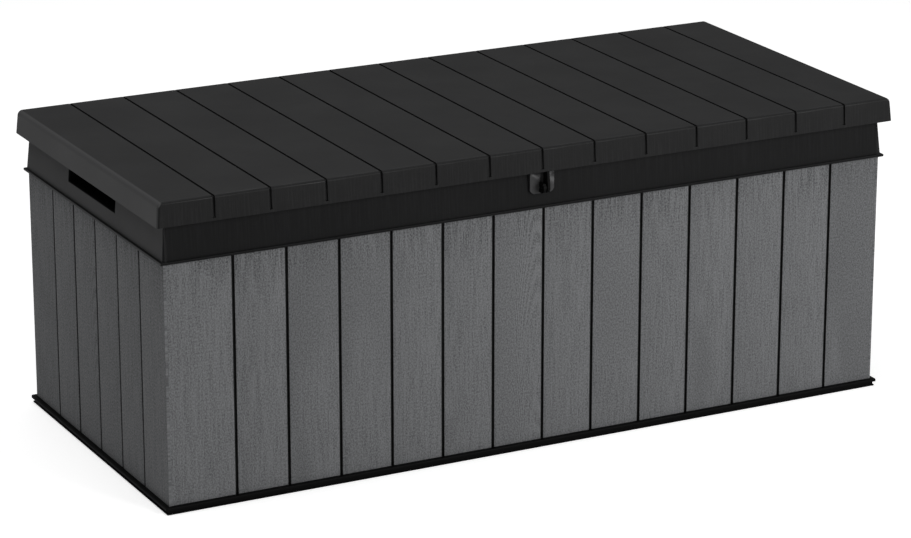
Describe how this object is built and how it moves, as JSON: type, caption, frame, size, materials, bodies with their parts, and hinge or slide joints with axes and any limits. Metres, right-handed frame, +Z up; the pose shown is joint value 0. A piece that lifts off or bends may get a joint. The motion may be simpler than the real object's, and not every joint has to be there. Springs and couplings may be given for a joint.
{
  "type": "deck storage box",
  "caption": "Large outdoor storage box with planked resin walls, a hinged planked lid held by telescopic struts, side hand grips and a padlock eye.",
  "frame": {"origin": "centre of the underside of the floor tray, on the ground", "axes": "+X along the length to the right as seen from the front, +Y towards the rear, +Z up"},
  "size_m": [1.45, 0.6632, 0.558],
  "materials": {
    "plank_panel": "dark grey moulded resin with wood-grain planks",
    "collar": "near-black moulded resin",
    "tray": "black moulded resin",
    "lid": "charcoal moulded resin",
    "liner": "charcoal resin sheet",
    "lock_fitting": "dark grey resin",
    "corner_angles": "charcoal resin",
    "hinge_leaves": "black resin",
    "pins": "zinc-plated steel",
    "screws": "zinc-plated steel",
    "lid_bars": "black powder-coated steel tube",
    "strut_tubes": "black painted steel tube",
    "strut_caps": "black plastic",
    "strut_rods": "bright steel rod",
    "brackets": "black steel"
  },
  "bodies": {
    "box": {"collar_screws": "screws", "corner_angle_front_left": "corner_angles", "corner_angle_front_right": "corner_angles", "corner_angle_rear_left": "corner_angles", "corner_angle_rear_right": "corner_angles", "corner_screws": "screws", "fixed_leaf_1": "hinge_leaves", "fixed_leaf_2": "hinge_leaves", "fixed_leaf_3": "hinge_leaves", "fixed_leaf_screws": "screws", "floor_tray": "tray", "front_collar": "collar", "front_wall": "plank_panel", "hinge_pin_1": "pins", "hinge_pin_2": "pins", "hinge_pin_3": "pins", "left_collar": "collar", "left_grip": "collar", "left_wall": "plank_panel", "left_wall_bracket": "brackets", "lock_plate": "lock_fitting", "rear_collar": "collar", "rear_wall": "plank_panel", "right_collar": "collar", "right_grip": "collar", "right_wall": "plank_panel", "right_wall_bracket": "brackets", "wall_bracket_screws": "screws", "wall_pivot_clips": "pins"},
    "lid": {"lid_shell": "lid", "lid_liner": "liner", "lid_front_bar": "lid_bars", "lid_rear_bar": "lid_bars", "lid_lug": "lock_fitting", "lug_screws": "screws", "liner_screws": "screws", "lid_leaf_1": "hinge_leaves", "lid_leaf_2": "hinge_leaves", "lid_leaf_3": "hinge_leaves", "lid_leaf_screws": "screws", "left_lid_bracket": "brackets", "right_lid_bracket": "brackets", "lid_bracket_screws": "screws", "lid_pivot_clips": "pins"},
    "left_cylinder": {"left_strut_tube": "strut_tubes", "left_strut_cap": "strut_caps"},
    "right_cylinder": {"right_strut_tube": "strut_tubes", "right_strut_cap": "strut_caps"},
    "left_rod": {"left_strut_rod": "strut_rods"},
    "right_rod": {"right_strut_rod": "strut_rods"}
  },
  "joints": [
    {"name": "lid_hinge", "type": "hinge", "parent": "box", "child": "lid", "pos_m": [0, 0.3165, 0.518], "axis": [-1, 0, 0], "range_deg": [0, 85]},
    {"name": "left_cylinder_pivot", "type": "hinge", "parent": "box", "child": "left_cylinder", "pos_m": [-0.655, 0.23292, 0.22988], "axis": [-1, 0, 0], "range_deg": [0, 42.5]},
    {"name": "right_cylinder_pivot", "type": "hinge", "parent": "box", "child": "right_cylinder", "pos_m": [0.655, 0.23292, 0.22988], "axis": [-1, 0, 0], "range_deg": [0, 42.5]},
    {"name": "left_rod_pivot", "type": "hinge", "parent": "lid", "child": "left_rod", "pos_m": [-0.655, 0.01717, 0.498], "axis": [-1, 0, 0], "range_deg": [-42.5, 0]},
    {"name": "right_rod_pivot", "type": "hinge", "parent": "lid", "child": "right_rod", "pos_m": [0.655, 0.01717, 0.498], "axis": [-1, 0, 0], "range_deg": [-42.5, 0]}
  ],
  "couplings": [
    {"joint": "left_cylinder_pivot", "follows": "lid_hinge", "ratio": 0.5},
    {"joint": "right_cylinder_pivot", "follows": "lid_hinge", "ratio": 0.5},
    {"joint": "left_rod_pivot", "follows": "lid_hinge", "ratio": -0.5},
    {"joint": "right_rod_pivot", "follows": "lid_hinge", "ratio": -0.5}
  ]
}
